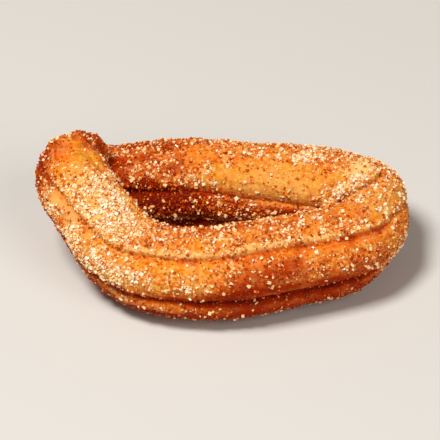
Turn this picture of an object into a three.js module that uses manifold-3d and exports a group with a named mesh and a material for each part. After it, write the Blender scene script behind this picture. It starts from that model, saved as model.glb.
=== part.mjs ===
// A loop churro: one strand of dough squeezed through a star nozzle, bent into a teardrop and fried,
// with the last of the strand laid over its start and pressed into it, and coarse sugar stuck on.
// Millimetres, +Z up. The loop lies flat on the floor at z = 0, with its length along X.
import * as THREE from "three";
import { mergeVertices } from "three/addons/utils/BufferGeometryUtils.js";
import Module from "manifold-3d";

const wasm = await Module();
wasm.setup();

// Driving dimensions
const STRAND_RADIUS = 9.1; // the strand's middle to the crown of a ridge
const TAIL_LIFT = 8.6; // how far the upper tail climbs over the lower one
const CLIMB_LENGTH = 29; // how much of the strand climbs
const FLAT_DEPTH = 0.5; // taken off the lowest ridges where the loop rests
const DOME_LENGTH = 3.2; // the rounded end of each tail
const DOME_POWER = 0.55; // under 1 makes a blunt end
const SLANT = 0.55; // the slope of the upper tail's cut end, which is shorter on the outer side
const TILT = 0.25; // the slope of the same end, which is shorter at the top
const CUT_REACH = 10; // how much of the strand these slopes pull along
const THIN_SIDE = -65; // where a thinned strand is thinnest, in degrees up from straight outwards
const CROWN_POWER = 0.48; // under 1 makes wide crowns and narrow grooves
// The grooves in turn round the strand, from the one that shows along the front: how deep each one
// is and how far round it lies from the first, in degrees.
const GROOVE_DEPTHS = [1.1, 1.0, 0.5, 2.1, 1.7, 1.8, 2.1];
const GROOVE_ANGLES = [0, 51, 103, 153, 198, 247, 297, 360];
const RIDGES = GROOVE_DEPTHS.length;
const FOLD_GROOVE = 1; // crosses the top in the tight end, as a crease where the dough folds
const STEADY_GROOVE = 3; // by which the fold groove's lean has faded out

// The strand, stretch by stretch from the upper tail: how long each is and how far it turns to the
// left, then, at its far end, the angle of the first groove from straight outwards towards the top,
// the fold groove's lean from its usual angle, its depth, the strand's thickness as a share of the
// usual one, and the share of it that is missing at the thin side. Turns and angles are in degrees.
const STRETCHES = [
  { name: "upper tail", length: 9, turn: 40, groove: 42, lean: 30, fold: 0.5, thickness: 0.9, thin: 0.11 },
  { name: "climb", length: 10, turn: 9, groove: 44, lean: 30, fold: 0.5, thickness: 0.93, thin: 0.08 },
  { name: "front left", length: 13, turn: 33, groove: 54, lean: 26, fold: 0.6, thickness: 0.97, thin: 0.03 },
  { name: "front", length: 15, turn: 31, groove: 56, lean: 28, fold: 0.8, thickness: 1.03, thin: 0 },
  { name: "front right", length: 18, turn: 1, groove: 54, lean: 30, fold: 1.5, thickness: 1.03, thin: 0.08 },
  { name: "tight end", length: 8, turn: 46, groove: 45, lean: 31, fold: 2.1, thickness: 1.04, thin: 0.26 },
  { name: "fold", length: 10, turn: 58, groove: 10, lean: 0, fold: 1.6, thickness: 1.07, thin: 0.33 },
  { name: "round end", length: 7, turn: 40, groove: 12, lean: -8, fold: 1.0, thickness: 1.01, thin: 0.24 },
  { name: "back right", length: 14, turn: 14, groove: 11, lean: -8, fold: 1.0, thickness: 0.98, thin: 0 },
  { name: "back", length: 14, turn: 4, groove: 0, lean: 0, fold: 1.0, thickness: 1.0, thin: 0 },
  { name: "lower tail", length: 25, turn: 3, groove: -1, lean: 0, fold: 1.0, thickness: 0.9, thin: 0 },
];
const START = {
  x: -29.9,
  y: 9.1,
  heading: -96,
  groove: 28,
  lean: 30,
  fold: 0.5,
  thickness: 0.8,
  thin: 0.13,
};
const STRAND_LENGTH = STRETCHES.reduce((sum, { length }) => sum + length, 0);

// Unevenness of the fried skin
const WAVE_DEPTH = 0.22;
const WAVES_ALONG = 3.66;
const WAVES_ROUND = 2;
const CRAG_DEPTH = 0.45; // of the torn ends

// Fineness
const POINTS_PER_RIDGE = 6;
const AROUND = RIDGES * POINTS_PER_RIDGE;
const RINGS_PER_HALF = 36;
const DOME_RINGS = 3;

// Coarse sugar, spread evenly along and round the strand
const CRYSTALS = 120;
const CRYSTAL_SIZE = [0.6, 1.05];
const CRYSTAL_STEPS = new THREE.Vector2(0.7548776662, 0.569840291); // fills the skin evenly
const CLEAR_OF_FLOOR = 1.5;
const SEED = 20;

const UP = new THREE.Vector3(0, 0, 1);

// 1 at the strand's start, falling to 0 where the reach ends.
function fading(distance, reach) {
  return 1 - THREE.MathUtils.smoothstep(distance, 0, reach);
}

// The strand at a distance along its plan: where it is, which way it heads and its section.
function stretchAt(distance) {
  const place = { ...START, heading: THREE.MathUtils.degToRad(START.heading) };
  let left = distance;
  for (const { length, turn, ...far } of STRETCHES) {
    const walked = Math.min(left, length);
    const bend = THREE.MathUtils.degToRad(turn) / length;
    const middle = place.heading + (bend * walked) / 2;
    const chord = walked * (Math.sin((bend * walked) / 2) / ((bend * walked) / 2) || 1);
    const blend = THREE.MathUtils.smoothstep(walked, 0, length);
    place.x += chord * Math.cos(middle);
    place.y += chord * Math.sin(middle);
    place.heading += bend * walked;
    for (const measure of ["groove", "lean", "fold", "thickness", "thin"]) {
      place[measure] = THREE.MathUtils.lerp(place[measure], far[measure], blend);
    }
    left -= walked;
  }
  return place;
}

// The middle of the strand, a chain of arcs in plan with the upper tail climbing.
class MiddleLine extends THREE.Curve {
  getPoint(share, target = new THREE.Vector3()) {
    const distance = share * STRAND_LENGTH;
    const { x, y } = stretchAt(distance);
    const lift = TAIL_LIFT * fading(distance, CLIMB_LENGTH);
    return target.set(x, y, STRAND_RADIUS - FLAT_DEPTH + lift);
  }
}
const middleLine = new MiddleLine();

// Repeatable random numbers from 0 to 1, by the mulberry32 rule.
function randomNumbers(seed) {
  let state = seed;
  return () => {
    state = (state + 0x6d2b79f5) | 0;
    let mixed = Math.imul(state ^ (state >>> 15), 1 | state);
    mixed = (mixed + Math.imul(mixed ^ (mixed >>> 7), 61 | mixed)) ^ mixed;
    return ((mixed ^ (mixed >>> 14)) >>> 0) / 2 ** 32;
  };
}

// From the strand's middle to its skin, for the usual thickness. turn counts ridges round the
// strand, from the first groove.
function skinRadius(share, turn, fold) {
  const depths = GROOVE_DEPTHS.with(FOLD_GROOVE, fold);
  const groove = Math.floor(turn);
  const across = turn - groove;
  const depth = THREE.MathUtils.lerp(depths[groove], depths[(groove + 1) % RIDGES], across);
  const crown = Math.sin(Math.PI * across) ** CROWN_POWER;
  const wave = Math.sin(2 * Math.PI * (WAVES_ALONG * share + (WAVES_ROUND * turn) / RIDGES));
  return STRAND_RADIUS - depth * (1 - crown) + WAVE_DEPTH * wave;
}

// How far round the strand a place on the skin is from the first groove, in degrees. The lean of
// the fold groove fades out by the first groove on one side and by the steady one on the other.
function angleRound(turn, lean) {
  const groove = Math.floor(turn);
  const even = THREE.MathUtils.lerp(
    GROOVE_ANGLES[groove],
    GROOVE_ANGLES[groove + 1],
    turn - groove,
  );
  const before = turn / FOLD_GROOVE;
  const after = (STEADY_GROOVE - turn) / (STEADY_GROOVE - FOLD_GROOVE);
  return even + lean * Math.max(0, Math.min(before, after));
}

// A point of the skin, with beyond as its distance past the strand's end and size as the share of
// the section that is left there.
function skinPoint(share, turn, beyond = 0, size = 1) {
  const distance = share * STRAND_LENGTH;
  const { groove, lean, fold, thickness, thin } = stretchAt(distance);
  const forward = middleLine.getTangent(share);
  const outward = new THREE.Vector3().crossVectors(forward, UP).normalize();
  const upward = new THREE.Vector3().crossVectors(outward, forward);
  const angle = THREE.MathUtils.degToRad(groove + angleRound(turn, lean));
  const left = 1 - thin * Math.max(0, Math.cos(angle - THREE.MathUtils.degToRad(THIN_SIDE)));
  const radius = skinRadius(share, turn, fold) * thickness * size * left;
  const out = radius * Math.cos(angle);
  const up = radius * Math.sin(angle);
  const cut = (SLANT * out + TILT * up) * fading(distance, CUT_REACH);
  return middleLine
    .getPoint(share)
    .addScaledVector(forward, beyond + cut)
    .addScaledVector(outward, out)
    .addScaledVector(upward, up);
}

// The stations of a tail's dome, from its root to its tip. side is -1 at the strand's start and
// 1 at its end.
function domeStations(share, side) {
  return Array.from({ length: DOME_RINGS + 1 }, (_, i) => {
    const rise = ((i + 1) / (DOME_RINGS + 1)) * (Math.PI / 2);
    return {
      share,
      beyond: side * DOME_LENGTH * Math.sin(rise),
      size: i < DOME_RINGS ? Math.cos(rise) ** DOME_POWER : 0,
    };
  });
}

// Half of the strand as one closed mesh: rings of skin points, a dome at its tail and a flat cut
// where the halves meet.
function strandHalf(from, to, crag) {
  const body = Array.from({ length: RINGS_PER_HALF + 1 }, (_, i) => ({
    share: THREE.MathUtils.lerp(from, to, i / RINGS_PER_HALF),
    beyond: 0,
    size: 1,
  }));
  const head = from === 0 ? domeStations(0, -1).reverse() : [{ ...body[0], size: 0 }];
  const tail = to === 1 ? domeStations(1, 1) : [{ ...body.at(-1), size: 0 }];
  const stations = [...head, ...body, ...tail];

  const positions = [];
  const indices = [];
  const starts = stations.map(({ share, beyond, size }) => {
    const start = positions.length / 3;
    const points = size === 0 ? 1 : AROUND;
    for (let j = 0; j < points; j++) {
      const torn = beyond === 0 ? 0 : crag();
      const point = skinPoint(share, j / POINTS_PER_RIDGE, beyond + torn, size);
      positions.push(...point.toArray());
    }
    return start;
  });
  for (let i = 0; i + 1 < stations.length; i++) {
    for (let j = 0; j < AROUND; j++) {
      const next = (j + 1) % AROUND;
      if (stations[i].size > 0) {
        const far = stations[i + 1].size === 0 ? 0 : j;
        indices.push(starts[i] + j, starts[i + 1] + far, starts[i] + next);
      }
      if (stations[i + 1].size > 0) {
        const near = stations[i].size === 0 ? 0 : next;
        indices.push(starts[i + 1] + j, starts[i + 1] + next, starts[i] + near);
      }
    }
  }
  return new THREE.BufferGeometry()
    .setAttribute("position", new THREE.Float32BufferAttribute(positions, 3))
    .setIndex(indices);
}

// A closed geometry as a solid that can be joined and cut.
function solidOf(geometry) {
  geometry.deleteAttribute("normal");
  geometry.deleteAttribute("uv");
  const merged = mergeVertices(geometry, 1e-4);
  return new wasm.Manifold(
    new wasm.Mesh({
      numProp: 3,
      vertProperties: merged.attributes.position.array,
      triVerts: new Uint32Array(merged.index.array),
    }),
  );
}

// The whole strand, with its upper tail joined to its lower one. Solid, mesh and solid again merges
// the points where the halves meet.
function strand() {
  const random = randomNumbers(SEED);
  const crag = () => CRAG_DEPTH * (2 * random() - 1);
  const halves = solidOf(strandHalf(0, 0.5, crag)).add(solidOf(strandHalf(0.5, 1, crag)));
  return solidOf(geometryOf(halves));
}

// Coarse crystals, each a small uneven block half sunk in the skin.
function crystals() {
  const random = randomNumbers(SEED);
  const made = [];
  for (let i = 1; made.length < CRYSTALS; i++) {
    const share = (i * CRYSTAL_STEPS.x) % 1;
    const turn = ((i * CRYSTAL_STEPS.y) % 1) * RIDGES;
    const place = skinPoint(share, turn);
    const size = THREE.MathUtils.lerp(...CRYSTAL_SIZE, random());
    const block = new THREE.BoxGeometry(
      size,
      size * THREE.MathUtils.lerp(0.7, 1, random()),
      size * THREE.MathUtils.lerp(0.6, 0.9, random()),
    );
    const tilt = new THREE.Euler(...[0, 0, 0].map(() => 2 * Math.PI * random()));
    block.applyMatrix4(new THREE.Matrix4().makeRotationFromEuler(tilt).setPosition(place));
    if (place.z > CLEAR_OF_FLOOR) {
      made.push(solidOf(block));
    }
  }
  return made;
}

// What lies under the floor, which flattens the lowest ridges.
function belowFloor() {
  const span = STRAND_LENGTH;
  return solidOf(new THREE.BoxGeometry(span, span, span).translate(0, 0, -span / 2));
}

// The main body alone, with the pockets between its touching ridges filled and loose scraps dropped.
function outerBody(solid) {
  return solid.decompose().reduce((main, body) => (body.volume() > main.volume() ? body : main));
}

function geometryOf(solid) {
  const { vertProperties, triVerts } = solid.getMesh();
  const geometry = new THREE.BufferGeometry()
    .setAttribute("position", new THREE.Float32BufferAttribute(vertProperties, 3))
    .setIndex(new THREE.Uint32BufferAttribute(triVerts, 1));
  geometry.computeVertexNormals();
  return geometry;
}

const dough = new THREE.MeshStandardMaterial({
  color: new THREE.Color().setRGB(0.84, 0.5, 0.2, THREE.SRGBColorSpace),
  roughness: 0.6,
  metalness: 0,
});
const sugared = crystals().reduce((joined, crystal) => joined.add(crystal), strand());
const churro = new THREE.Mesh(geometryOf(outerBody(sugared.subtract(belowFloor()))), dough);
churro.name = "churro";

const group = new THREE.Group();
group.add(churro);

export default group;
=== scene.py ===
"""A loop churro, fried golden and rolled in cinnamon sugar, for Blender 4.5.

The strand is swept from the same sizes as its solid, and its tails are fused. Its skin then gets
fine lines in its grooves, blisters and scratches, and sugar crystals and cinnamon grains lie on it.
Sizes on the churro are in millimetres, and its pieces are scaled to metres at the end. The camera,
the lights and the floor are in metres.
"""

import itertools
import math
from typing import NamedTuple

import bpy
import numpy as np
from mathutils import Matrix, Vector


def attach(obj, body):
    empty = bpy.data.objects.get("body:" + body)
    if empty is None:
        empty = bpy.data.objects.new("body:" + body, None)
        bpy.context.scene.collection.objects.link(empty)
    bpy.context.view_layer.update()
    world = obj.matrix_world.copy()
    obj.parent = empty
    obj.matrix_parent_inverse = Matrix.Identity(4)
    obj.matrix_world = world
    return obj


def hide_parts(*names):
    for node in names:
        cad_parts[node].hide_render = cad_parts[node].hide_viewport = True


MM = 0.001  # metres

# The strand, as in its solid
STRAND_RADIUS = 9.1
TAIL_LIFT = 8.6
CLIMB_LENGTH = 29.0
FLAT_DEPTH = 0.5
DOME_LENGTH = 3.2
DOME_POWER = 0.55
SLANT = 0.55
TILT = 0.25
CUT_REACH = 10.0
THIN_SIDE = -65.0
CROWN_POWER = 0.48
WAVE_DEPTH = 0.22
WAVES_ALONG = 3.66
WAVES_ROUND = 2
GROOVE_DEPTHS = np.array([1.1, 1.0, 0.5, 2.1, 1.7, 1.8, 2.1])
GROOVE_ANGLES = np.array([0, 51, 103, 153, 198, 247, 297, 360])
RIDGES = len(GROOVE_DEPTHS)
FOLD_GROOVE = 1
STEADY_GROOVE = 3
# Each stretch from the upper tail: its length, its turn to the left and, at its far end, the
# angle of the first groove, the lean of the fold groove and its depth, the thickness, and the
# share of it that is missing at the thin side.
STRETCHES = [
    (9, 40, 42, 30, 0.5, 0.9, 0.11),  # upper tail
    (10, 9, 44, 30, 0.5, 0.93, 0.08),  # climb
    (13, 33, 54, 26, 0.6, 0.97, 0.03),  # front left
    (15, 31, 56, 28, 0.8, 1.03, 0),  # front
    (18, 1, 54, 30, 1.5, 1.03, 0.08),  # front right
    (8, 46, 45, 31, 2.1, 1.04, 0.26),  # tight end
    (10, 58, 10, 0, 1.6, 1.07, 0.33),  # fold
    (7, 40, 12, -8, 1.0, 1.01, 0.24),  # round end
    (14, 14, 11, -8, 1.0, 0.98, 0),  # back right
    (14, 4, 0, 0, 1.0, 1.0, 0),  # back
    (25, 3, -1, 0, 1.0, 0.9, 0),  # lower tail
]
START = {"x": -29.9, "y": 9.1, "heading": -96, "section": (28, 30, 0.5, 0.8, 0.13)}
STRAND_LENGTH = sum(row[0] for row in STRETCHES)

# Fineness
RING_SPACING = 0.3
POINTS_PER_RIDGE = 26
DOME_RINGS = 10
VOXEL = 0.36
STEP_ALONG = 0.25
POINTS_AT_ONCE = 4000


def smoothstep(value, low=0.0, high=1.0):
    share = np.clip((value - low) / (high - low), 0, 1)
    return share * share * (3 - 2 * share)


def fading(distance, reach):
    """1 at the strand's start, falling to 0 where the reach ends."""
    return 1 - smoothstep(distance, 0, reach)


def bell(offset, width):
    """1 in the middle of a narrow line, falling smoothly to 0 on both sides."""
    return np.exp(-((offset / width) ** 2))


def hashed(cell, seed):
    """A fixed value from -1 to 1 for each cell of a grid, mixed from large odd numbers."""
    mixed = cell[:, 0] * 73856093 ^ cell[:, 1] * 19349663 ^ cell[:, 2] * 83492791
    mixed = (mixed ^ (seed * 668265263)) & 0xFFFFFFFF
    mixed = ((mixed ^ (mixed >> 15)) * 2246822519) & 0xFFFFFFFF
    mixed = ((mixed ^ (mixed >> 13)) * 3266489917) & 0xFFFFFFFF
    return ((mixed ^ (mixed >> 16)) & 0xFFFF) / 32767.5 - 1


def noise(points, size, seed):
    """Smooth noise from -1 to 1 with features of about that size, one value for each point."""
    places = points / size
    corner = np.floor(places).astype(np.int64)
    across = places - corner
    fade = across**3 * (across * (across * 6 - 15) + 10)
    total = np.zeros(len(points))
    for steps in itertools.product((0, 1), repeat=3):
        weight = np.where(np.array(steps) == 1, fade, 1 - fade).prod(axis=1)
        total += weight * hashed(corner + steps, seed)
    return total


def layered(points, layers, base=0.0):
    """Noise in layers over a base, each with its strength, size and seed."""
    return sum((strength * noise(points, size, seed) for strength, size, seed in layers), base)


# --- The strand's form


def stretch_at(distance):
    """Where the strand is, which way it heads and its section, at each distance along its plan."""
    x = np.full(distance.shape, float(START["x"]))
    y = np.full(distance.shape, float(START["y"]))
    heading = np.full(distance.shape, math.radians(START["heading"]))
    section = [np.full(distance.shape, float(value)) for value in START["section"]]
    left = distance.copy()
    for length, turn, *far_section in STRETCHES:
        walked = np.clip(left, 0, length)
        turned = math.radians(turn) * walked / length
        chord = walked * np.sinc(turned / (2 * math.pi))
        x += chord * np.cos(heading + turned / 2)
        y += chord * np.sin(heading + turned / 2)
        heading += turned
        blend = smoothstep(walked / length)
        section = [near + (far - near) * blend for near, far in zip(section, far_section)]
        left -= walked
    return x, y, heading, *section


def strand_frames(distance):
    """The strand's middle and its three directions, at each distance along its plan."""
    x, y, heading = stretch_at(distance)[:3]
    climbed = np.clip(distance / CLIMB_LENGTH, 0, 1)
    lift = TAIL_LIFT * fading(distance, CLIMB_LENGTH)
    slope = -TAIL_LIFT * 6 * climbed * (1 - climbed) / CLIMB_LENGTH  # of the lift's smoothstep
    middle = np.stack([x, y, STRAND_RADIUS - FLAT_DEPTH + lift], axis=-1)
    forward = np.stack([np.cos(heading), np.sin(heading), slope], axis=-1)
    forward /= np.linalg.norm(forward, axis=-1, keepdims=True)
    outward = np.stack([np.sin(heading), -np.cos(heading), np.zeros_like(x)], axis=-1)
    upward = np.cross(outward, forward)
    return middle, forward, outward, upward


def lean_taken(turn):
    """How much of the fold groove's lean the skin takes at a place round the strand."""
    after = (STEADY_GROOVE - turn) / (STEADY_GROOVE - FOLD_GROOVE)
    return np.clip(np.minimum(turn / FOLD_GROOVE, after), 0, 1)


def angle_round(turn, lean):
    """How far round the strand a place on the skin is from the first groove, in degrees."""
    return np.interp(turn, np.arange(RIDGES + 1), GROOVE_ANGLES) + lean * lean_taken(turn)


def groove_depth(groove, fold):
    return np.where(groove == FOLD_GROOVE, fold, GROOVE_DEPTHS[groove])


def skin_radius(distance, turn, fold):
    """From the strand's middle to its skin, for the usual thickness."""
    groove = np.floor(turn).astype(int) % RIDGES
    across = turn % 1
    near = groove_depth(groove, fold)
    far = groove_depth((groove + 1) % RIDGES, fold)
    depth = near + (far - near) * across
    crown = np.sin(math.pi * across) ** CROWN_POWER
    waves = WAVES_ALONG * distance / STRAND_LENGTH + WAVES_ROUND * turn / RIDGES
    wave = np.sin(2 * math.pi * waves)
    return STRAND_RADIUS - depth * (1 - crown) + WAVE_DEPTH * wave


def cut_shift(distance, out, up):
    """How far the slant and tilt of the upper tail's cut end pull the skin along."""
    return (SLANT * out + TILT * up) * fading(distance, CUT_REACH)


def skin_points(distance, turn, beyond=0.0, size=1.0):
    """Points of the skin, with beyond and size as the place on a tail's dome."""
    middle, forward, outward, upward = strand_frames(distance)
    groove, lean, fold, thickness, thin = stretch_at(distance)[3:]
    angle = np.radians(groove + angle_round(turn, lean))
    left = 1 - thin * np.clip(np.cos(angle - math.radians(THIN_SIDE)), 0, 1)
    radius = skin_radius(distance, turn, fold) * thickness * size * left
    out = radius * np.cos(angle)
    up = radius * np.sin(angle)
    parts = ((forward, beyond + cut_shift(distance, out, up)), (outward, out), (upward, up))
    return middle + sum(direction * length[..., None] for direction, length in parts)


def ring_rows():
    """Each ring's distance along the strand, how far it is beyond a tail, and its size."""
    rings = round(STRAND_LENGTH / RING_SPACING)
    rise = np.linspace(0, math.pi / 2, DOME_RINGS + 1)[1:-1]
    beyond = DOME_LENGTH * np.sin(rise)
    dome = np.cos(rise) ** DOME_POWER
    at_start = 0 * rise
    flat = np.zeros(rings)
    along = np.linspace(0, STRAND_LENGTH, rings)
    distance = np.concatenate([at_start, along, at_start + STRAND_LENGTH])
    beyond = np.concatenate([-beyond[::-1], flat, beyond])
    size = np.concatenate([dome[::-1], flat + 1, dome])
    return distance, beyond, size


def tube_faces(rings, around):
    """The faces of a closed tube of rings, with one flat face on each end."""
    here = np.arange((rings - 1) * around).reshape(rings - 1, around)
    beside = np.roll(here, -1, axis=1)
    sides = np.stack([here, here + around, beside + around, beside], axis=-1)
    faces = sides.reshape(-1, 4).tolist()
    faces.append(list(range(around)))
    faces.append(list(range(rings * around - 1, (rings - 1) * around - 1, -1)))
    return faces


def strand_sweep():
    """The whole strand as points and faces: rings of skin with a dome at each tail."""
    distance, beyond, size = ring_rows()
    around = RIDGES * POINTS_PER_RIDGE
    turn = np.arange(around) / POINTS_PER_RIDGE
    grid = np.meshgrid(distance, turn, indexing="ij")
    points = skin_points(*grid, beyond[:, None], size[:, None]).reshape(-1, 3)
    return points, tube_faces(len(distance), around)


def mesh_object(name, points, faces):
    mesh = bpy.data.meshes.new(name)
    mesh.from_pydata(np.asarray(points).tolist(), [], faces)
    mesh.validate()
    made = bpy.data.objects.new(name, mesh)
    bpy.context.scene.collection.objects.link(made)
    return made


def points_of(mesh):
    points = np.empty(len(mesh.vertices) * 3)
    mesh.vertices.foreach_get("co", points)
    return points.reshape(-1, 3)


def normals_of(mesh):
    normals = np.empty(len(mesh.vertices) * 3)
    mesh.vertex_normals.foreach_get("vector", normals)
    return normals.reshape(-1, 3)


def triangles_of(mesh):
    mesh.calc_loop_triangles()
    triangles = np.empty(len(mesh.loop_triangles) * 3, np.int32)
    mesh.loop_triangles.foreach_get("vertices", triangles)
    return triangles.reshape(-1, 3)


def set_points(mesh, points):
    mesh.vertices.foreach_set("co", np.asarray(points).ravel())
    mesh.update()


def add_attribute(mesh, name, values):
    kind = "FLOAT" if values.ndim == 1 else "FLOAT_VECTOR"
    layer = mesh.attributes.new(name, kind, "POINT")
    layer.data.foreach_set("value" if values.ndim == 1 else "vector", values.ravel())


def fused(sweep):
    """The swept strand as one skin of even faces, with the tails joined where they touch."""
    remesh = sweep.modifiers.new("fuse", "REMESH")
    remesh.mode = "VOXEL"
    remesh.voxel_size = VOXEL
    evaluated = sweep.evaluated_get(bpy.context.evaluated_depsgraph_get())
    mesh = bpy.data.meshes.new_from_object(evaluated)
    made = bpy.data.objects.new("churro_dough", mesh)
    bpy.context.scene.collection.objects.link(made)
    bpy.data.objects.remove(sweep)
    return made


# --- Places on the skin

END_FROM = -0.5  # how far inside a tail's end its roughness is full: here just beyond the end
END_TO = 3.0  # and how far inside it has faded out
REACH_FULL = 0.6  # the share of a bead's reach over which it is at full strength
PATCH_FULL = 0.45  # the share of a patch over which it is at full strength


def nearest_steps(points, middle, thickness):
    """Which step along the strand is nearest to each point, for how thick the strand is there."""
    parts = np.array_split(points, len(points) // POINTS_AT_ONCE + 1)
    found = [
        np.argmin(np.linalg.norm(part[:, None] - middle, axis=2) / thickness, axis=1)
        for part in parts
    ]
    return np.concatenate(found)


class Places:
    """Where each point of the skin lies on the strand.

    distance is how far along it is and turn how far round, in ridges from the first groove.
    straight is its place if the strand were straight. off_groove is how far round the nearest
    groove is, in ridges, and depth how deep that groove is. crown is 0 in a groove and 1 on a
    ridge. past_tail is how far it is from the upper tail's cut, and end is 1 at the tails' ends.
    """

    def __init__(self, points):
        steps = np.arange(0, STRAND_LENGTH + STEP_ALONG / 2, STEP_ALONG)
        middle, forward, outward, upward = strand_frames(steps)
        groove, lean, fold, thickness = stretch_at(steps)[3:7]
        nearest = nearest_steps(points, middle, thickness)
        offset = points - middle[nearest]
        out = (offset * outward[nearest]).sum(axis=1)
        up = (offset * upward[nearest]).sum(axis=1)
        angle = np.degrees(np.arctan2(up, out)) % 360 - groove[nearest]
        self.distance = steps[nearest] + (offset * forward[nearest]).sum(axis=1)
        self.turn = self.turn_at(angle, lean[nearest])
        self.off_groove = (self.turn + 0.5) % 1 - 0.5
        self.crown = np.abs(np.sin(math.pi * self.off_groove))
        self.depth = groove_depth(np.round(self.turn).astype(int) % RIDGES, fold[nearest])
        self.past_tail = self.distance - cut_shift(self.distance, out, up)
        to_end = np.minimum(self.past_tail, STRAND_LENGTH - self.distance)
        self.end = 1 - smoothstep(to_end, END_FROM, END_TO)
        across = STRAND_RADIUS * np.cos(np.radians(angle))
        above = STRAND_RADIUS * np.sin(np.radians(angle))
        self.straight = np.stack([self.distance, across, above], axis=-1)

    @staticmethod
    def turn_at(angle, lean):
        """The ridges passed from the first groove up to an angle from it, for each one's lean."""
        grooves = np.arange(RIDGES + 1)
        edges = GROOVE_ANGLES + lean[:, None] * lean_taken(grooves)
        angle = angle % 360
        groove = np.clip((edges <= angle[:, None]).sum(axis=1) - 1, 0, RIDGES - 1)
        near = np.take_along_axis(edges, groove[:, None], axis=1)[:, 0]
        far = np.take_along_axis(edges, groove[:, None] + 1, axis=1)[:, 0]
        return groove + (angle - near) / (far - near)

    def near(self, distance, reach):
        """1 at that distance along the strand, falling to 0 where the reach ends."""
        return 1 - smoothstep(np.abs(self.distance - distance) / reach, REACH_FULL, 1.0)

    def patch(self, distance, turn, length, width):
        """1 at a place on the strand, falling to 0 over that length along it and width round it."""
        off_turn = (self.turn - turn + RIDGES / 2) % RIDGES - RIDGES / 2
        far = np.hypot((self.distance - distance) / length, off_turn / width)
        return 1 - smoothstep(far, PATCH_FULL, 1.0)

    def patches(self, rows):
        return sum(strength * self.patch(*row) for *row, strength in rows)


# --- The skin

# Patches of the skin: place along the strand, place round it in ridges, length, width and strength
SMOOTH_PATCHES = [
    (101, 2.6, 17, 0.85, 0.75),  # the bright ridge inside the back
    (88, 2.3, 6, 0.5, 0.6),
    (5, 0.8, 5, 0.9, 0.8),  # on top of the upper tail's tip
    (33, -0.2, 13, 0.22, 0.65),  # just under the front's first groove
    (62, -0.12, 12, 0.12, 0.7),
    (77, 0.4, 5, 0.4, 0.4),  # the top of the tight end
    (74, -0.25, 7, 0.35, 0.6),  # its outer side
    (83, 1.6, 4, 0.4, 0.8),  # beside the fold
    (60, -0.45, 16, 0.6, 0.35),  # the outer side of the front
    (50, -1.6, 44, 0.6, 0.4),  # low on the front
    (46, -0.92, 38, 0.34, 0.75),  # along the groove there
]
# Paler skin, with less browning; some rows are painted light on places that turn from the lamp
PALE_PATCHES = [
    (101, 2.6, 17, 0.85, 0.45),  # the bright ridge inside the back
    (16, 0.4, 13, 0.7, 0.45),  # the upper tail
    (20, -0.45, 12, 0.5, 0.45),
    # painted light on the upper tail's inner flank
    (9, 0.95, 8, 0.6, 0.4),
    (20, 0.9, 9, 0.35, 0.4),
    (77, 0.35, 7, 0.6, 0.2),  # the top of the tight end
    (80, 1.45, 7, 0.6, 0.6),  # beside the fold
    (76, 1.3, 4, 0.35, 0.6),
    (84, 2.1, 4.5, 0.5, 0.5),
    (95, 2.8, 14, 0.5, 0.25),  # the inside of the back
    (119, 2.8, 9, 0.35, 0.45),
    (127, 2.35, 4, 0.4, 0.3),
    (85, 2.85, 6, 0.35, 0.3),
    (107, 3.22, 15, 0.35, 0.25),  # high on the wall inside the loop
    (104, 3.0, 26, 0.14, 0.4),  # painted light in the groove above it
    (38, -0.2, 11, 0.25, 0.22),  # along the front's first groove
    (50, 0.0, 7, 0.3, 0.35),
    (28, 0.0, 7, 0.3, 0.25),
    (30, -1.15, 9, 0.35, 0.35),  # low on the front left
    (33, -0.6, 10, 0.3, 0.3),  # painted light on the outer side of the front, where it turns down
]
SUGARY_PATCHES = [
    (76, 1.6, 4, 0.5, 0.4),  # beside the fold
    (79.5, 1.5, 4, 0.5, 0.3),
    (15, 0.4, 10, 0.6, 0.35),  # the upper tail
    (23, 0.4, 8, 0.5, 0.3),
    (10, 0.95, 8, 0.5, 0.35),
    (19, -0.5, 10, 0.4, 0.4),
    (12, -0.45, 8, 0.35, 0.5),
    (48, 0.3, 14, 0.4, 0.15),  # along the front's upper ridge
    (95, 1.7, 9, 0.4, 0.35),  # on top of the back
    (133, 2.2, 22, 1.3, 0.5),  # the back, under the upper tail
    (70, -0.5, 9, 0.5, 0.25),  # the outer side of the tight end
    (97, 3.55, 34, 0.7, 0.35),  # the wall inside the loop
    (107, 3.25, 15, 0.35, 0.7),
]
POWDERY_PATCHES = [
    (75, 1.3, 5, 0.4, 0.9),  # beside the fold
    (80, 1.5, 5, 0.45, 0.9),
    (83, 1.6, 4.5, 0.45, 0.7),
    (84, 1.3, 4, 0.4, 0.7),
    (14, 0.5, 9, 0.6, 0.65),  # the upper tail
    (12, -0.3, 8, 0.4, 0.45),
    # painted light on the upper tail's inner flank
    (13, 1.0, 7, 0.25, 0.6),
    (24, -0.5, 9, 0.35, 0.3),
    (40, 0.11, 44, 0.09, 0.7),  # the bead along the front's first groove
    (76, 0.5, 7, 0.6, 0.2),  # the top of the tight end
    (99, 2.6, 15, 0.6, 0.22),  # the bright ridge inside the back
]
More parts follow.
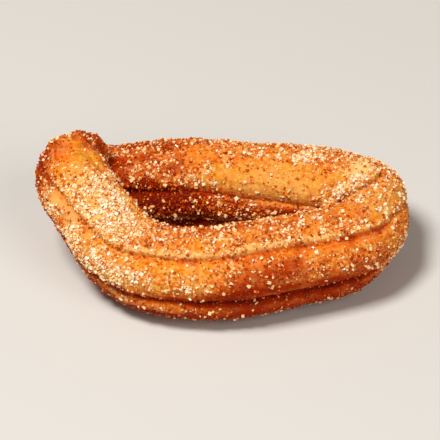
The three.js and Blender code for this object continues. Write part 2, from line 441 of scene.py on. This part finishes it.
# Browner skin: some rows are real browning, and the rows marked painted shade darken places that lie
# in shade
BROWN_AND_SHADE_PATCHES = [
    (5, -1.1, 8, 1.0, 0.22),  # the outer side of the upper tail
    (3, -0.2, 5, 0.8, 0.25),
    (10, -0.95, 9, 0.55, 0.5),
    (8, 2.2, 12, 0.8, 0.6),  # painted shade on its inner side, in the crevice against the back
    (0, 1.35, 4, 0.6, 0.4),  # the top of its cut end
    (24, -1.6, 14, 0.6, 0.5),  # painted shade low on the front
    (55, -1.5, 34, 0.6, 0.58),
    (46, -0.92, 38, 0.34, 0.55),  # painted shade along the groove there
    (48, -0.4, 13, 0.55, 0.38),  # painted shade on the outer side of the front
    (50, -0.6, 8, 0.3, 0.12),
    (62, -0.4, 14, 0.6, 0.26),
    (56, 0.45, 9, 0.4, 0.15),  # the front's upper ridge
    (42, 0.68, 9, 0.35, 0.4),  # painted shade on the front's edge over the hole
    (140, 2.0, 30, 2.2, 0.4),  # painted shadow of the upper tail on the back
    (126, 1.3, 20, 0.6, 0.3),
    (130, 2.8, 18, 1.2, 0.35),
    (108, 3.6, 40, 0.9, 1.0),  # painted shade on the wall inside the loop
    (130, 3.7, 18, 1.0, 0.6),
    (126, 3.5, 15, 1.0, 0.7),
    (104, 2.88, 28, 0.24, 0.35),  # painted shade, in orange, along the lower edge inside the back
]
# Where the skin stands out, for a share of the flap's height
FLAP_PATCHES = [
    (76.5, 1.45, 5, 0.5, 0.7),  # the lip beside the fold
    (80, 1.4, 5, 0.55, 0.7),
    (83, 1.25, 5, 0.6, 0.6),
    (0, 0.72, 4, 0.6, 1.7),  # the top of the upper tail's cut end
]
FLAP_HEIGHT = 0.55
# Thin beads and lines beside grooves: place round the strand and width in ridges, height, and how
# far along the strand the middle is and reaches
BEADS = [
    (0.1, 0.045, 0.42, 38, 46),  # over the front's first groove
    (0.2, 0.04, -0.25, 34, 34),
    (3.0, 0.07, 0.5, 104, 27),  # in the groove inside the back
]
# The fine line at the bottom of each groove, as a share of its depth, and its width in ridges
SEAM_DEPTH = 0.2
SEAM_WIDTH = 0.045

# Layers of the skin's relief: height, the size of its features, and the seed
LUMPS = [(0.18, 7.0, 1), (0.07, 3.2, 2)]
STROKES = [(0.07, 0.9, 3), (0.1, 2.6, 4)]
STROKE_STRETCH = (9.0, 1.0, 1.0)  # how much longer they are along the strand
WRINKLES = [(0.09, 1.3, 11), (0.1, 3.5, 12)]
WRINKLE_STRETCH = (1.0, 5.0, 5.0)
GRIT = [(0.08, 1.1, 5), (0.06, 0.6, 6)]
TORN_ENDS = [(0.5, 2.2, 9), (0.45, 1.1, 10)]
GROOVE_ROUGHNESS = 0.15  # of the roughness on the ridges
BLISTER_HEIGHT = 0.3
BLISTER_SIZE = 1.5
BLISTER_CLUSTER = 9.0

# Layers of the skin's browning: strength, the size of its features, and the seed. Below them, the
# browning also takes painted shade.
BROWN_BASE = 0.35
BROWN_WANDER = [(0.22, 8.0, 21), (0.2, 3.0, 22), (0.12, 1.2, 25)]
UNDER_PAINTED_SHADE = 0.45  # painted shade on the underside, fading out between these heights
UNDER_SHADE_HEIGHTS = (0.5, 6.5)
GROOVE_BROWN_AND_SHADE = 0.28  # darker beside a deep groove: partly real browning, partly painted shade
SEAM_BROWN_AND_SHADE = 0.3  # and right in it, the same mix
SEAM_BROWN_AND_SHADE_WIDTH = 0.06
SHALLOW_DEPTH = 0.48  # grooves as shallow as this are no browner
DEEP_DEPTH = 1.68  # and grooves as deep as this are the brownest
RIM_BROWN = 0.25  # on the ragged rim of the upper tail's cut end
RIM_LENGTH = 3.0
RIM_WANDER = [(1.4, 2.0, 23), (1.2, 0.9, 24)]
DARKEST = 1.6

# Layers of the sugar's thickness: strength, the size of its features, and the seed
SUGAR_BASE = 0.5
SUGAR_WANDER = [(0.28, 6.0, 31), (0.2, 2.5, 32)]
SUGAR_CLUMPS = [(0.5, 1.1, 33), (0.55, 0.75, 36)]
HELD_IN_GROOVES = 0.25  # of what the ridges hold
SUGAR_AT_ENDS = 0.15
THICKEST_SUGAR = 1.2
POWDER_BASE = 0.75
POWDER_WANDER = [(0.35, 1.6, 34), (0.25, 0.8, 35)]


def blisters(points, rough):
    """Blisters in clusters, lower in the grooves."""
    bubbly = rough * smoothstep(noise(points, BLISTER_CLUSTER, 7), -0.1, 0.6)
    return BLISTER_HEIGHT * bubbly * smoothstep(noise(points, BLISTER_SIZE, 8), 0.25, 0.8)


def beads(places):
    return sum(
        height * bell(places.turn - turn, width) * places.near(distance, reach)
        for turn, width, height, distance, reach in BEADS
    )


def relief(points, places):
    """How far the fried skin stands out, in millimetres."""
    lumps = layered(points, LUMPS)
    strokes = layered(places.straight / STROKE_STRETCH, STROKES)
    wrinkles = layered(places.straight / WRINKLE_STRETCH, WRINKLES)
    on_ridge = smoothstep(places.crown, 0.1, 0.5)
    rough = GROOVE_ROUGHNESS + (1 - GROOVE_ROUGHNESS) * on_ridge
    grit = rough * layered(points, GRIT)
    torn = places.end * layered(points, TORN_ENDS)
    flap = FLAP_HEIGHT * places.patches(FLAP_PATCHES)
    seam = SEAM_DEPTH * places.depth * bell(places.off_groove, SEAM_WIDTH)
    texture = lumps + strokes + wrinkles + grit + blisters(points, rough) + torn
    return texture + beads(places) + flap - seam


def groove_browning_and_shade(places):
    """How much darker the skin is in the deeper grooves: partly real browning, partly painted shade.
    """
    deepness = np.clip((places.depth - SHALLOW_DEPTH) / (DEEP_DEPTH - SHALLOW_DEPTH), 0, 1)
    beside = GROOVE_BROWN_AND_SHADE * deepness**0.5 * (1 - smoothstep(places.crown, 0.0, 0.6))
    return beside + SEAM_BROWN_AND_SHADE * deepness * bell(places.off_groove, SEAM_BROWN_AND_SHADE_WIDTH)


def browning_and_shade(points, places):
    """0 where the skin is palest gold, 1 where it is dark brown, more where it is darkest. It sums
    real browning with painted shade on the underside, in the deeper grooves and in shade patches,
    less where pale patches lift it, some of them painted light.
    """
    wander = layered(points, BROWN_WANDER, BROWN_BASE)
    # painted shade on the underside
    under = UNDER_PAINTED_SHADE * (1 - smoothstep(points[:, 2], *UNDER_SHADE_HEIGHTS))
    # browner and paler patches, many of them painted shade and painted light
    patches = places.patches(BROWN_AND_SHADE_PATCHES) - places.patches(PALE_PATCHES)
    ragged = layered(points, RIM_WANDER, places.past_tail)
    rim = RIM_BROWN * (1 - smoothstep(ragged, 0.0, RIM_LENGTH))
    return np.clip(wander + under + groove_browning_and_shade(places) + patches + rim, 0, DARKEST)


def sugariness(points, places):
    """How thickly the sugar lies: 0 is bare, and it is seldom over 1."""
    wander = layered(points, SUGAR_WANDER, SUGAR_BASE) + layered(points, SUGAR_CLUMPS)
    on_ridge = smoothstep(places.crown, 0.05, 0.35)
    held = HELD_IN_GROOVES + (1 - HELD_IN_GROOVES) * on_ridge
    extra = places.patches(SUGARY_PATCHES) + SUGAR_AT_ENDS * places.end
    bare = np.clip(places.patches(SMOOTH_PATCHES), 0, 1)
    return np.clip((wander + extra) * held * (1 - bare), 0, THICKEST_SUGAR)


def powderiness(points, places):
    """How thickly fine sugar powders the skin, from 0 to 1."""
    uneven = layered(points, POWDER_WANDER, POWDER_BASE)
    return np.clip(places.patches(POWDERY_PATCHES) * uneven, 0, 1)


# --- Materials


def srgb(red, green, blue):
    """A screen colour, 0 to 255, as the shader's linear colour."""
    values = np.array([red, green, blue]) / 255
    linear = np.where(values <= 0.04045, values / 12.92, ((values + 0.055) / 1.055) ** 2.4)
    return (*linear.tolist(), 1.0)


# Fried dough, from the palest to the darkest; the darker colours also paint shade where the browning
# mask carries it
GOLD = srgb(218, 150, 28)
ORANGE = srgb(221, 101, 0)
BARE = srgb(206, 84, 0)
DEEP = srgb(165, 42, 0)
# the darkest brown, reached mostly where shade is painted inside the loop
DARKEST_BROWN_AND_SHADE = srgb(100, 10, 0)
# What sticks to it
PALE = srgb(243, 205, 130)
FROSTED = srgb(240, 188, 102)
CINNAMON = srgb(150, 48, 0)

FLOOR_COLOUR = (0.62, 0.62, 0.62, 1)

# Noise in the colours and bumps: features for each metre, detail and roughness
MOTTLE = (900.0, 4.0, 0.6)
FLECKS = (1300.0, 3.0, 0.6)
SKIN_GRAIN = (2200.0, 4.0, 0.6)
CINNAMON_DUST = (2600.0, 2.0)
SUGAR_POWDER = (3200.0, 2.0)
FROST = (4000.0, 2.0)
# The same on the straightened strand, with features for each millimetre, after what its three
# directions are multiplied by
STROKE_SQUEEZE = (0.12, 1, 1)
STROKE_LINES = (2.2,)
SCRATCH_SQUEEZE = (1, 0.22, 0.22)
SCRATCHES = (1.8, 3.0, 0.6)
STROKE_BUMP = 0.25
SKIN_GRAIN_BUMP = 0.12
BUMP_STRENGTH = 0.5


class Shader:
    """A new material and short ways to add nodes to it."""

    def __init__(self, name):
        self.material = bpy.data.materials.new(name)
        self.material.use_nodes = True
        self.tree = self.material.node_tree
        self.surface = self.tree.nodes["Principled BSDF"]

    def node(self, kind, inputs=None, **settings):
        made = self.tree.nodes.new(kind)
        for key, value in settings.items():
            setattr(made, key, value)
        for key, value in (inputs or {}).items():
            self.feed(made.inputs[key], value)
        return made

    def feed(self, socket, value):
        if isinstance(value, bpy.types.NodeSocket):
            self.tree.links.new(value, socket)
        else:
            socket.default_value = value

    def attribute(self, name, output="Fac"):
        return self.node("ShaderNodeAttribute", attribute_name=name).outputs[output]

    def place(self):
        return self.node("ShaderNodeTexCoord").outputs["Object"]

    def noise(self, vector, scale, detail=3.0, roughness=0.5):
        inputs = {"Vector": vector, "Scale": scale, "Detail": detail, "Roughness": roughness}
        return self.node("ShaderNodeTexNoise", inputs).outputs["Fac"]

    def scaled(self, vector, factors):
        inputs = {0: vector, 1: factors}
        return self.node("ShaderNodeVectorMath", inputs, operation="MULTIPLY").outputs[0]

    def ramp(self, value, low, high, to_low=0.0, to_high=1.0):
        inputs = {
            "Value": value,
            "From Min": low,
            "From Max": high,
            "To Min": to_low,
            "To Max": to_high,
        }
        return self.node("ShaderNodeMapRange", inputs).outputs["Result"]

    def blend(self, share, first, second):
        inputs = {0: share, 6: first, 7: second}  # the mix node's factor and its two colours
        return self.node("ShaderNodeMix", data_type="RGBA", inputs=inputs).outputs[2]

    def multiply(self, first, second):
        inputs = {0: first, 1: second}
        return self.node("ShaderNodeMath", inputs, operation="MULTIPLY").outputs[0]

    def bump(self, height, strength, depth, normal=None):
        inputs = {"Height": height, "Strength": strength, "Distance": depth}
        if normal is not None:
            inputs["Normal"] = normal
        return self.node("ShaderNodeBump", inputs).outputs["Normal"]

    def set(self, **values):
        for key, value in values.items():
            self.feed(self.surface.inputs[key.replace("_", " ")], value)


def fried_colour(shader, brown, strokes, scratches):
    """The skin from gold to orange by its browning, which carries painted shade too, with streaks,
    scratches and mottling.
    """
    mottle = shader.noise(shader.place(), *MOTTLE)
    colour = shader.blend(shader.ramp(brown, 0.1, 0.6), GOLD, ORANGE)
    colour = shader.blend(shader.ramp(strokes, 0.5, 0.7, 0.0, 0.28), colour, FROSTED)
    colour = shader.blend(shader.ramp(scratches, 0.5, 0.68, 0.0, 0.24), colour, PALE)
    colour = shader.blend(shader.ramp(scratches, 0.48, 0.34, 0.0, 0.45), colour, ORANGE)
    return shader.blend(shader.ramp(mottle, 0.45, 0.7, 0.0, 0.55), colour, ORANGE)


def sugared_colour(shader, colour, sugary):
    """Pale flecks of sugar, the bare skin between them, and finer sugar over both."""
    flecks = shader.noise(shader.place(), *FLECKS)
    to_pale = shader.ramp(flecks, 0.5, 0.62)
    flecked = shader.multiply(to_pale, shader.ramp(sugary, 0.0, 0.5, 0.1, 0.8))
    colour = shader.blend(flecked, colour, PALE)
    to_bare = shader.ramp(flecks, 0.5, 0.4)
    bared = shader.multiply(to_bare, shader.ramp(sugary, 0.0, 0.5, 0.2, 0.85))
    colour = shader.blend(bared, colour, BARE)
    powder = shader.ramp(shader.noise(shader.place(), *SUGAR_POWDER), 0.42, 0.6)
    powdered = shader.multiply(powder, shader.ramp(sugary, 0.2, 1.1, 0.05, 0.5))
    colour = shader.blend(powdered, colour, FROSTED)
    return shader.blend(shader.attribute("powdery"), colour, PALE)


def browned_and_shaded_colour(shader, colour, brown, sugary):
    """Browner skin and painted shade, down to the darkest brown, and a dusting of cinnamon where
    sugar lies.
    """
    colour = shader.blend(shader.ramp(brown, 0.5, 1.0), colour, DEEP)
    colour = shader.blend(shader.ramp(brown, 1.0, DARKEST), colour, DARKEST_BROWN_AND_SHADE)
    dust = shader.ramp(shader.noise(shader.place(), *CINNAMON_DUST), 0.5, 0.62)
    dusted = shader.multiply(dust, shader.ramp(sugary, 0.0, 0.8, 0.1, 0.75))
    return shader.blend(dusted, colour, CINNAMON)


def dough_material():
    shader = Shader("fried_dough")
    straight = shader.attribute("straight", "Vector")
    brown = shader.attribute("brown")
    sugary = shader.attribute("sugary")
    strokes = shader.noise(shader.scaled(straight, STROKE_SQUEEZE), *STROKE_LINES)
    scratches = shader.noise(shader.scaled(straight, SCRATCH_SQUEEZE), *SCRATCHES)

    colour = fried_colour(shader, brown, strokes, scratches)
    colour = sugared_colour(shader, colour, sugary)
    colour = browned_and_shaded_colour(shader, colour, brown, sugary)
    grain = shader.noise(shader.place(), *SKIN_GRAIN)
    normal = shader.bump(strokes, BUMP_STRENGTH, STROKE_BUMP * MM)
    normal = shader.bump(grain, BUMP_STRENGTH, SKIN_GRAIN_BUMP * MM, normal)
    shader.set(
        Base_Color=colour,
        Roughness=shader.ramp(shader.attribute("crown"), 0.0, 1.0, 0.7, 0.55),
        Normal=normal,
        Subsurface_Weight=0.12,
        Subsurface_Radius=(1.0, 0.45, 0.15),
        Subsurface_Scale=1.0 * MM,
        Specular_IOR_Level=0.04,
    )
    return shader.material


def grain_material(name, palest, darkest):
    """Grains whose colour runs from palest to darkest by each one's own tint."""
    shader = Shader(name)
    frost = shader.noise(shader.place(), *FROST)
    shader.set(
        Base_Color=shader.blend(shader.attribute("tint"), srgb(*palest), srgb(*darkest)),
        Roughness=shader.ramp(frost, 0.3, 0.7, 0.18, 0.4),
        Subsurface_Weight=0.3,
        Subsurface_Radius=(1.0, 0.7, 0.45),
        Subsurface_Scale=0.4 * MM,
        Specular_IOR_Level=0.3,
    )
    return shader.material


def floor_material():
    shader = Shader("floor")
    shader.set(Base_Color=FLOOR_COLOUR, Roughness=0.8)
    return shader.material


# --- Sugar and cinnamon


class Form(NamedTuple):
    """A grain's corners, for a size of 1, and its faces."""

    corners: np.ndarray
    faces: np.ndarray


class Grain(NamedTuple):
    """A kind of grain, with its smallest and largest size, and how flat it may be.

    standing is how far its middle is out of the skin, as a share of its size.
    """

    name: str
    count: int
    sizes: tuple
    flattest: float
    standing: float
    form: Form
    palest: tuple
    darkest: tuple


BLOCK = Form(
    np.array(list(itertools.product((-0.5, 0.5), repeat=3))),
    np.array(
        [[0, 1, 3, 2], [4, 6, 7, 5], [0, 4, 5, 1], [2, 3, 7, 6], [0, 2, 6, 4], [1, 5, 7, 3]]
    ),
)
FLAKE = Form(
    np.array(
        [[0.5, 0, 0], [-0.5, 0, 0], [0, 0.5, 0], [0, -0.5, 0], [0, 0, 0.5], [0, 0, -0.5]]
    ),
    np.array(
        [[0, 2, 4], [2, 1, 4], [1, 3, 4], [3, 0, 4], [2, 0, 5], [1, 2, 5], [3, 1, 5], [0, 3, 5]]
    ),
)
GRAINS = [
    Grain("sugar_sparkles", 3600, (0.42, 0.78), 0.35, 0.22, BLOCK, (255, 242, 220), (255, 208, 146)),
    Grain("sugar_crystals", 13000, (0.28, 0.58), 0.35, 0.18, BLOCK, (255, 212, 140), (222, 108, 14)),
    Grain("amber_crystals", 11000, (0.3, 0.62), 0.4, 0.12, BLOCK, (232, 116, 8), (156, 44, 0)),
    Grain("cinnamon_specks", 13000, (0.18, 0.44), 0.4, 0.15, FLAKE, (192, 76, 4), (122, 32, 0)),
    Grain("sugar_dust", 20000, (0.12, 0.24), 0.6, 0.2, FLAKE, (250, 196, 120), (234, 134, 34)),
]
FIRST_SEED = 11
SIZE_POWER = 1.8  # above 1, small grains are more common than large ones
CLEAR_OF_FLOOR = 0.5
SHADE_AND_BROWN_TINT = 1.0  # how much darker the grains are on the brownest skin, which includes painted shade
EVEN_BROWN = 0.3  # the browning that leaves their tint as it is
DARKEST_TINT = 1.5
STRAY_PALE = 0.03  # how thickly pale grains lie where there is no sugar
STRAY_DARK = 0.12  # and dark ones
PALE_LOST = 0.72  # the share of the pale grains that is missing on brown skin, which includes painted shade
DARK_FULL = 0.8  # the sugar's thickness above which dark grains lie no thicker
DARK_BASE = 0.5  # how thickly they lie for the sugar's thickness, on golden skin
DARK_GAINED = 0.4  # and what is added to that on brown skin
DUST_BASE = 1.2  # how thickly fine sugar lies on golden skin, which falls with the browning


def random_turns(random, count):
    """Turning matrices that face every way alike."""
    quaternions = random.normal(size=(count, 4))
    w, x, y, z = (quaternions / np.linalg.norm(quaternions, axis=1, keepdims=True)).T
    return np.stack(
        [
            np.stack([1 - 2 * (y * y + z * z), 2 * (x * y - z * w), 2 * (x * z + y * w)], axis=-1),
            np.stack([2 * (x * y + z * w), 1 - 2 * (x * x + z * z), 2 * (y * z - x * w)], axis=-1),
            np.stack([2 * (x * z - y * w), 2 * (y * z + x * w), 1 - 2 * (x * x + y * y)], axis=-1),
        ],
        axis=1,
    )


def random_shares(random, count):
    """Shares of a triangle's three corners, for places spread evenly over it."""
    first, second = random.random((2, count))
    flip = first + second > 1
    first[flip] = 1 - first[flip]
    second[flip] = 1 - second[flip]
    return np.stack([1 - first - second, first, second], axis=1)


def random_corners(random, grain):
    """The size of each grain and its turned corners, from its middle."""
    small, large = grain.sizes
    size = small + (large - small) * random.random(grain.count) ** SIZE_POWER
    sides = size[:, None] * random.uniform(grain.flattest, 1.0, (grain.count, 3))
    turns = random_turns(random, grain.count)
    corners = np.einsum("nij,nkj->nki", turns, grain.form.corners[None] * sides[:, None])
    return size, corners


def chances(points, triangles, weights):
    """How likely a grain is to lie on each triangle of the skin."""
    a, b, c = (points[triangles[:, i]] for i in range(3))
    area = np.linalg.norm(np.cross(b - a, c - a), axis=1) / 2
    chance = area * weights[triangles].mean(axis=1)
    chance[points[triangles][:, :, 2].min(axis=1) < CLEAR_OF_FLOOR] = 0
    return chance / chance.sum()


def repeated_faces(form, count):
    """The faces of that many grains, whose corners follow one another."""
    first_corners = np.arange(count) * len(form.corners)
    faces = form.faces[None] + first_corners[:, None, None]
    return faces.reshape(-1, form.faces.shape[1]).tolist()


def scatter(dough, weights, brown, grain, seed):
    """Grains of one kind as a single mesh, thicker on the skin where the weights are higher.

    They are darker where the skin is browner, which includes where shade is painted on it.
    """
    random = np.random.default_rng(seed)
    triangles = triangles_of(dough.data)
    points = points_of(dough.data)
    chance = chances(points, triangles, weights)
    chosen = triangles[random.choice(len(triangles), size=grain.count, p=chance)]
    share = random_shares(random, grain.count)
    place = (points[chosen] * share[:, :, None]).sum(axis=1)
    normal = normals_of(dough.data)[chosen[:, 0]]
    size, corners = random_corners(random, grain)
    place = place + normal * (size * grain.standing)[:, None]
    all_points = (place[:, None] + corners).reshape(-1, 3)
    all_points[:, 2] = np.maximum(all_points[:, 2], 0)

    made = mesh_object(grain.name, all_points, repeated_faces(grain.form, grain.count))
    # grains are tinted darker on browner skin, and so in painted shade
    tint = random.random(grain.count) + SHADE_AND_BROWN_TINT * (brown[chosen[:, 0]] - EVEN_BROWN)
    tint = np.repeat(np.clip(tint, 0, DARKEST_TINT), len(grain.form.corners))
    add_attribute(made.data, "tint", tint)
    made.data.materials.append(grain_material(grain.name, grain.palest, grain.darkest))
    return made


def grain_weights(sugary, brown):
    """How thickly each kind of grain lies on the skin; browner skin, painted shade included, holds
    fewer pale grains and more dark ones.
    """
    # the browning here includes painted shade
    fried = np.minimum(brown, 1)
    pale = STRAY_PALE + sugary**2 * (1 - PALE_LOST * fried)
    dark = STRAY_DARK + np.minimum(sugary, DARK_FULL) * (DARK_BASE + DARK_GAINED * fried)
    return {
        "sugar_sparkles": pale,
        "sugar_crystals": pale,
        "amber_crystals": dark,
        "cinnamon_specks": dark,
        "sugar_dust": DUST_BASE - fried,
    }


# --- The object

SKIN_BOTTOM = 0.02  # keeps the dough off the floor's plane


def fried_strand():
    """The fused strand with its relief, its points and their places on the strand."""
    made = fused(mesh_object("strand", *strand_sweep()))
    points = points_of(made.data)
    places = Places(points)
    points = points + normals_of(made.data) * relief(points, places)[:, None]
    points[:, 2] = np.maximum(points[:, 2], SKIN_BOTTOM)
    set_points(made.data, points)
    return made, points, places


def build_churro():
    dough, points, places = fried_strand()
    sugary = sugariness(points, places)
    brown = browning_and_shade(points, places)
    add_attribute(dough.data, "straight", places.straight)
    add_attribute(dough.data, "brown", brown)
    add_attribute(dough.data, "crown", places.crown)
    add_attribute(dough.data, "sugary", sugary)
    add_attribute(dough.data, "powdery", powderiness(points, places))
    dough.data.shade_smooth()
    dough.data.materials.append(dough_material())

    weights = grain_weights(sugary, brown)
    grains = [
        scatter(dough, weights[grain.name], brown, grain, seed)
        for seed, grain in enumerate(GRAINS, start=FIRST_SEED)
    ]
    for piece in [dough, *grains]:
        set_points(piece.data, points_of(piece.data) * MM)
    return dough, grains


# --- Camera, light and floor

CAMERA_TARGET = Vector((-0.0005, 0.0, 0.0105))
CAMERA_ELEVATION = 38  # degrees
CAMERA_DISTANCE = 0.7
CAMERA_LENS = 290
SENSOR_WIDTH = 36
CLIP_START = 0.01
LIGHT_TARGET = Vector((0, 0, 0.01))
WORLD_COLOUR = (1, 0.9, 0.8, 1)
WORLD_STRENGTH = 0.135
FLOOR_HALF = 3.0


def place_camera():
    elevation = math.radians(CAMERA_ELEVATION)
    towards = Vector((0, -math.cos(elevation), math.sin(elevation)))
    camera = bpy.data.objects.new("camera", bpy.data.cameras.new("camera"))
    bpy.context.scene.collection.objects.link(camera)
    camera.location = CAMERA_TARGET + CAMERA_DISTANCE * towards
    camera.rotation_euler = towards.to_track_quat("Z", "Y").to_euler()
    camera.data.lens = CAMERA_LENS
    camera.data.sensor_width = SENSOR_WIDTH
    camera.data.clip_start = CLIP_START
    bpy.context.scene.camera = camera


def area_light(name, place, size, power, colour):
    light = bpy.data.lights.new(name, "AREA")
    light.shape = "DISK"
    light.size = size
    light.energy = power
    light.color = colour
    made = bpy.data.objects.new(name, light)
    made.location = place
    made.rotation_euler = (Vector(place) - LIGHT_TARGET).to_track_quat("Z", "Y").to_euler()
    bpy.context.scene.collection.objects.link(made)


def light_studio():
    area_light("key", (-0.32, -0.2, 0.85), 0.3, 9.1, (1.0, 0.95, 0.87))
    area_light("fill", (0.45, -0.6, 0.55), 0.6, 3.4, (1.0, 0.91, 0.8))
    world = bpy.data.worlds.new("studio")
    world.use_nodes = True
    background = world.node_tree.nodes["Background"]
    background.inputs["Color"].default_value = WORLD_COLOUR
    background.inputs["Strength"].default_value = WORLD_STRENGTH
    bpy.context.scene.world = world
    bpy.context.scene.view_settings.view_transform = "Standard"


def lay_floor():
    half = FLOOR_HALF
    corners = [(-half, -half, 0), (half, -half, 0), (half, half, 0), (-half, half, 0)]
    floor = mesh_object("floor", corners, [[0, 1, 2, 3]])
    floor.data.materials.append(floor_material())


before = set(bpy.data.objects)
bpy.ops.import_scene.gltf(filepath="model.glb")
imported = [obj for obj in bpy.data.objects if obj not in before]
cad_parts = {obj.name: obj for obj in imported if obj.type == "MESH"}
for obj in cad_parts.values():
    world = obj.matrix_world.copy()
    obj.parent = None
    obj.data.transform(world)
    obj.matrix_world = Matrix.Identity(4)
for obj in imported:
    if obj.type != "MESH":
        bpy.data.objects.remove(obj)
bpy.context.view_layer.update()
dough, grains = build_churro()
for piece in [dough, *grains]:
    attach(piece, "root")
    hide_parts("churro")
place_camera()
light_studio()
lay_floor()
